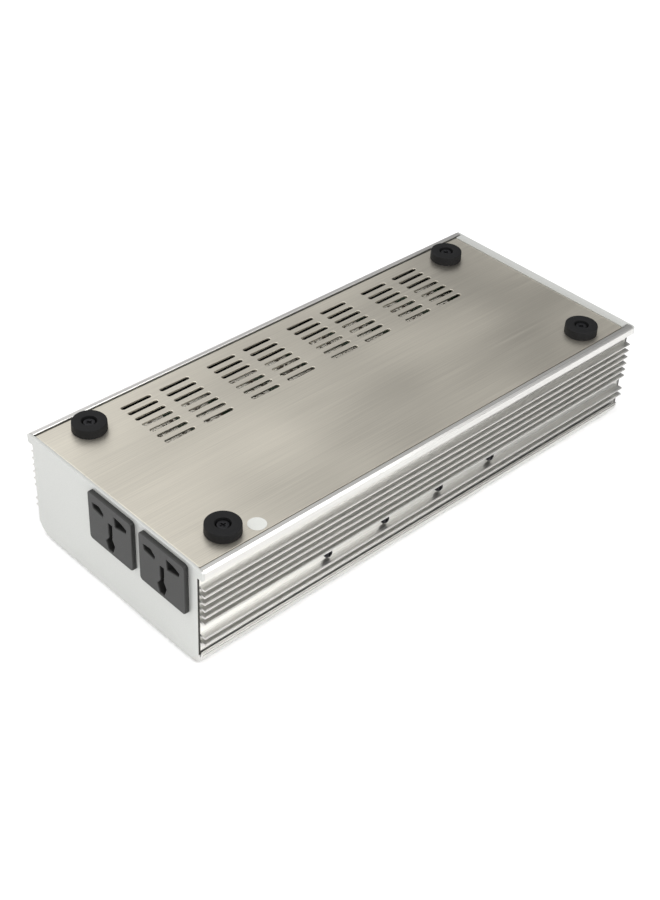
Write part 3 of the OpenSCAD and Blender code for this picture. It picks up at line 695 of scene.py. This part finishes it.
class INVERTER_OT_sockets(bpy.types.Operator):
    """Make the two universal sockets with deep openings."""

    bl_idname = "inverter.sockets"
    bl_label = "Sockets"

    def execute(self, context):
        sizes = in_mm(context.scene.inverter_sockets)
        for side in ("left", "right"):
            node = "socket_" + side
            low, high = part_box(node)
            depth = (high.x - low.x) / MM
            layers = (socket_layer(sizes, 0, 0, sizes.proud, 0.5, True),
                      socket_layer(sizes, 1.2, sizes.proud, sizes.pocket - sizes.proud, 0, True),
                      socket_layer(sizes, 1.2, sizes.pocket, depth - sizes.pocket, 0, False))
            bm = stacked(layers)
            # the layers lie on their backs: u to +Y, v to +Z and their front to -X
            upright = Matrix(((0, 0, -1, 0), (1, 0, 0, 0), (0, 1, 0, 0), (0, 0, 0, 1)))
            at = Matrix.Translation((low.x, middle(node).y, middle(node).z))
            bmesh.ops.transform(bm, matrix=at @ Matrix.Scale(MM, 4) @ upright, verts=bm.verts)
            place(node + "_moulding", bm, FINISH["socket_plastic"], "socket_plastic", "case", node)
        paint(FINISH["brass"], "contacts_left", "contacts_right")
        return {"FINISHED"}


def rotor_blade(bm, sizes, half_depth, start):
    """One curved blade: a grid wrapped about the fan's axis, then given a wall."""
    made = bmesh.ops.create_grid(bm, x_segments=10, y_segments=8, size=1)
    for v in made["verts"]:
        across, out = v.co.x, (v.co.y + 1) / 2
        radius = sizes.hub - 0.8 + (sizes.tip - sizes.hub + 0.8) * out
        angle = math.radians(start + 10 * out * out) + across * sizes.twist * (1 - 0.25 * out)
        depth = half_depth * (across * (0.96 - 0.12 * out) + 0.14 * (1 - across * across))
        v.co = Vector((depth, radius * math.cos(angle), radius * math.sin(angle)))
    faces = list({f for v in made["verts"] for f in v.link_faces})
    bmesh.ops.recalc_face_normals(bm, faces=faces)
    bmesh.ops.solidify(bm, geom=faces, thickness=1.1)


class INVERTER_OT_fan(bpy.types.Operator):
    """Make the fan: curved blades on a round hub, its frame, guard and screws."""

    bl_idname = "inverter.fan"
    bl_label = "Fan"

    def execute(self, context):
        sizes = in_mm(context.scene.inverter_fan)
        frame_low, frame_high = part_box("fan_frame")
        axis_at = (frame_low + frame_high) / 2
        low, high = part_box("fan_rotor")
        back = low.x / MM + 3.5
        front = high.x / MM
        bm = bmesh.new()
        for i in range(sizes.blades):
            rotor_blade(bm, sizes, (front - back) / 2 - 1.2, i * 360 / sizes.blades)
        bmesh.ops.translate(bm, verts=bm.verts, vec=((front + back) / 2, 0, 0))
        bmesh.ops.transform(bm, matrix=Matrix.Translation((0, axis_at.y, axis_at.z)) @ Matrix.Scale(MM, 4),
                            verts=bm.verts)
        hub = [(0.0, back - front), (sizes.hub, back - front), (sizes.hub, -1.6)]
        hub += arc((sizes.hub - 1.4, -1.6), 1.4, 0, 90) + [(9.0, -0.2), (8.7, -0.5), (0.0, -0.5)]
        turned(bm, hub, Vector((high.x, axis_at.y, axis_at.z)), axis=(1, 0, 0))
        shaft = [(0.0, -3.5), (1.5, -3.5), (1.5, 0.1), (0.0, 0.1)]
        turned(bm, shaft, Vector((back * MM, axis_at.y, axis_at.z)), axis=(1, 0, 0), steps=24)
        place("fan_rotor_bladed", bm, FINISH["fan_plastic"], "fan_plastic", "fan_rotor", "fan_rotor")
        place("fan_frame_moulded", edged_copy("fan_frame", 0.3), FINISH["fan_plastic"], "fan_plastic",
              "case", "fan_frame")
        place("fan_screws_round", edged_copy("fan_screws", 0.12), FINISH["plated_steel"],
              "plated_steel", "case", "fan_screws")
        paint(FINISH["chrome_wire"], "fan_guard")
        return {"FINISHED"}


class INVERTER_OT_terminals(bpy.types.Operator):
    """Make the two battery terminals: bases, studs, washers, ribbed caps and nuts."""

    bl_idname = "inverter.terminals"
    bl_label = "Battery terminals"

    def execute(self, context):
        for colour in ("red", "black"):
            plastic = colour + "_plastic"
            place(colour + "_base_moulded", edged_copy(colour + "_base", 0.4), FINISH[plastic], plastic,
                  "case", colour + "_base")
            place(colour + "_washer_plated", edged_copy(colour + "_washer", 0.15),
                  FINISH["plated_steel"], "plated_steel", colour + "_washer", colour + "_washer")
            place(colour + "_cap_ribbed", edged_copy(colour + "_cap", 0.25), FINISH[plastic], plastic,
                  colour + "_cap", colour + "_cap")
            place(colour + "_stud_turned", edged_copy(colour + "_stud", 0.3), FINISH["brass"], "brass",
                  "case", colour + "_stud")
        place("terminal_nuts_plated", edged_copy("terminal_nuts", 0.2), FINISH["plated_steel"],
              "plated_steel", "case", "terminal_nuts")
        return {"FINISHED"}


class INVERTER_OT_controls(bpy.types.Operator):
    """Make the rocker switch, the two lamps and the earth stud."""

    bl_idname = "inverter.controls"
    bl_label = "Switch, lamps and earth"

    def execute(self, context):
        plain = (("switch_body", "_moulded", 0.3, "black_plastic", "case"),
                 ("switch_rocker", "_moulded", 0.25, "black_plastic", "rocker"),
                 ("led_bezels", "_moulded", 0.2, "black_plastic", "case"),
                 ("earth_stud", "_plated", 0.15, "plated_steel", "case"),
                 ("earth_nut", "_plated", 0.15, "plated_steel", "case"))
        for node, ending, width, slot, body in plain:
            place(node + ending, edged_copy(node, width), FINISH[slot], slot, body, node)
        paint(FINISH["green_lens"], "power_led")
        paint(FINISH["red_lens"], "fault_led")
        return {"FINISHED"}


class INVERTER_OT_board(bpy.types.Operator):
    """Finish the boards, lay tinned tracks and soldered joints on the side towards the vents, and a
    near-black film as painted shade under the outer slots.
    """

    bl_idname = "inverter.board"
    bl_label = "Circuit board"

    def execute(self, context):
        paint(FINISH["circuit_board"], "main_board", "control_board")
        sizes = in_mm(context.scene.inverter_cover)
        low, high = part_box("main_board")
        top = high.z / MM
        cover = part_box("bottom_cover")[0].x / MM
        tracks = bmesh.new()
        joints = bmesh.new()
        rows, pitch, width, thick = 6, 5.4, 4.8, 0.7
        for pair in range(sizes.pairs):
            for group in range(2):
                x = cover + sizes.first_x + pair * sizes.pair_pitch + group * sizes.group_pitch + 6
                # broad tinned tracks cross under the inner slots, in uneven lengths
                for i in range(rows):
                    reach = 25 - 4 * ((i + group + pair) % 3)
                    y = 24 + i * pitch
                    block(tracks, (x, y, top), (x + reach, y + width, top + thick))
                for i in range(6):
                    for j in range(3):
                        at = Vector((x + 2.5 + i * 3.4, 26 + j * 9.3, top + thick)) * MM
                        bmesh.ops.create_cone(joints, cap_ends=True, segments=10, radius1=1.1 * MM,
                                              radius2=0.35 * MM, depth=1.4 * MM,
                                              matrix=Matrix.Translation(at))
        # painted shade: a near-black film stands in for the deep shade seen through the outer vent slots: a
        # shelf over each board edge, then an upright
        film = bmesh.new()
        edge, wall = high.y / MM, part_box("thermal_pads")[1].y / MM
        for side in (-1, 1):
            for inner, outer, floor, roof in ((edge - 14, wall - 0.4, top + 2.4, top + 2.8),
                                              (wall - 0.7, wall - 0.3, top + 2.4, top + 9.4)):
                block(film, (low.x / MM + 2, min(side * inner, side * outer), floor),
                      (high.x / MM - 2, max(side * inner, side * outer), roof), 0.1)
        place("board_edge_shade", film, FINISH["shade_film"], "circuit_board", "case")
        place("tinned_tracks", tracks, FINISH["tinned"], "circuit_board", "case")
        place("soldered_joints", joints, FINISH["tinned"], "circuit_board", "case")
        return {"FINISHED"}


class INVERTER_OT_inside(bpy.types.Operator):
    """Finish the parts inside the case."""

    bl_idname = "inverter.inside"
    bl_label = "Parts inside"

    def execute(self, context):
        for slot, nodes in {
            "ferrite": ("transformer_core_1", "transformer_core_2"),
            "winding_tape": ("transformer_winding_1", "transformer_winding_2"),
            "capacitor_sleeve": ("input_capacitors", "bus_capacitors"),
            "transistor_body": ("input_transistors", "output_transistors"),
            "mill_aluminium": ("clamp_bars",),
            "thermal_pad": ("thermal_pads",),
            "powder_core": ("choke_core",),
            "copper": ("choke_winding",),
            "fuse_plastic": ("blade_fuses",),
            "brass": ("board_standoffs",),
            "plated_steel": ("standoff_screws",),
            "red_insulation": ("battery_lead_red", "live_lead", "fan_lead"),
            "black_insulation": ("battery_lead_black",),
            "blue_insulation": ("neutral_lead",),
        }.items():
            paint(FINISH[slot], *nodes)
        return {"FINISHED"}


# ---------- stage ----------

def area_light(name, power, size, at, towards):
    """A square soft light that faces a point."""
    light = bpy.data.lights.new(name, "AREA")
    light.energy = power
    light.size = size
    lamp = bpy.data.objects.new(name, light)
    lamp.location = at
    lamp.rotation_euler = (Vector(towards) - Vector(at)).to_track_quat("-Z", "Y").to_euler()
    bpy.context.scene.collection.objects.link(lamp)


class INVERTER_OT_stage(bpy.types.Operator):
    """Set the floor, the soft light and the camera."""

    bl_idname = "inverter.stage"
    bl_label = "Stage"

    def execute(self, context):
        scene, sizes = context.scene, context.scene.inverter_stage
        bm = bmesh.new()
        bmesh.ops.create_grid(bm, x_segments=1, y_segments=1, size=6)
        mesh = bpy.data.meshes.new("floor")
        bm.to_mesh(mesh)
        bm.free()
        mesh.materials.append(grained("matt_white_floor", ("#fbfbfb", "#ffffff"), 0.0, (0.85, 0.95),
                                      (40, 40, 40), 0.01))
        floor = bpy.data.objects.new("floor", mesh)
        floor.location.z = CAD_BOX[0][2]
        scene.collection.objects.link(floor)

        # the room is white and falls off towards the battery end
        world = bpy.data.worlds.new("studio")
        world.use_nodes = True
        tree = world.node_tree
        direction = add(tree, "ShaderNodeTexCoord").outputs["Generated"]
        along = add(tree, "ShaderNodeSeparateXYZ", {"Vector": direction}).outputs["X"]
        fall = add(tree, "ShaderNodeMapRange", {"Value": along}, interpolation_type="SMOOTHSTEP",
                   From_Min=0.3, From_Max=0.85, To_Min=sizes.world, To_Max=sizes.world * sizes.dark_side)
        tree.nodes["Background"].inputs["Color"].default_value = linear("#ffffff")
        tree.links.new(fall.outputs["Result"], tree.nodes["Background"].inputs["Strength"])
        scene.world = world
        area_light("key", sizes.key, 1.0, (-0.5, 0.7, 1.3), CENTRE)
        area_light("front", sizes.front, 0.5, (-0.72, -0.82, 0.78), (-0.12, 0, 0.05))
        area_light("side", sizes.side, 0.45, (0.12, -0.55, 0.6), (-0.16, -0.08, 0.04))

        azimuth, elevation = sizes.azimuth, sizes.elevation
        back = Vector((math.sin(azimuth) * math.cos(elevation), -math.cos(azimuth) * math.cos(elevation),
                       math.sin(elevation)))
        camera = bpy.data.objects.new("camera", bpy.data.cameras.new("camera"))
        camera.data.lens = sizes.lens
        camera.location = CENTRE + Vector(sizes.aim) + back * sizes.distance
        camera.rotation_mode = "QUATERNION"
        level = (-back).to_track_quat("-Z", "Y").to_matrix()
        rolled = Matrix.Rotation(sizes.roll, 3, back) @ level
        camera.rotation_quaternion = rolled.to_quaternion()
        scene.collection.objects.link(camera)
        scene.camera = camera
        scene.view_settings.view_transform = "Standard"
        return {"FINISHED"}


OPERATORS = (INVERTER_OT_finishes, INVERTER_OT_case, INVERTER_OT_cover, INVERTER_OT_end_plates,
             INVERTER_OT_feet, INVERTER_OT_trim, INVERTER_OT_sockets, INVERTER_OT_fan,
             INVERTER_OT_terminals, INVERTER_OT_controls, INVERTER_OT_board, INVERTER_OT_inside,
             INVERTER_OT_stage)
GROUPS = {"inverter_colours": FinishColours, "inverter_cover": CoverSizes, "inverter_feet": FootSizes,
          "inverter_sockets": SocketSizes, "inverter_fan": FanSizes, "inverter_stage": StageSizes}


class INVERTER_PT_panel(bpy.types.Panel):
    """Lists the pieces in the sidebar."""

    bl_idname = "INVERTER_PT_panel"
    bl_label = "Power inverter"
    bl_space_type = "VIEW_3D"
    bl_region_type = "UI"
    bl_category = "Inverter"

    def draw(self, context):
        for operator in OPERATORS:
            self.layout.operator(operator.bl_idname)
        for name, group in GROUPS.items():
            settings = self.layout.box()
            for key in group.__annotations__:
                settings.prop(getattr(context.scene, name), key)


def register():
    for group in GROUPS.values():
        bpy.utils.register_class(group)
    for name, group in GROUPS.items():
        setattr(bpy.types.Scene, name, PointerProperty(type=group))
    for cls in (*OPERATORS, INVERTER_PT_panel):
        bpy.utils.register_class(cls)


def unregister():
    for cls in (INVERTER_PT_panel, *reversed(OPERATORS)):
        bpy.utils.unregister_class(cls)
    for name, group in GROUPS.items():
        delattr(bpy.types.Scene, name)
        bpy.utils.unregister_class(group)


def main():
    register()
    bpy.ops.inverter.finishes()
    bpy.ops.inverter.case()
    bpy.ops.inverter.cover()
    bpy.ops.inverter.end_plates()
    bpy.ops.inverter.feet()
    bpy.ops.inverter.trim()
    bpy.ops.inverter.sockets()
    bpy.ops.inverter.fan()
    bpy.ops.inverter.terminals()
    bpy.ops.inverter.controls()
    bpy.ops.inverter.board()
    bpy.ops.inverter.inside()
    bpy.ops.inverter.stage()


if __name__ == "__main__":
    main()
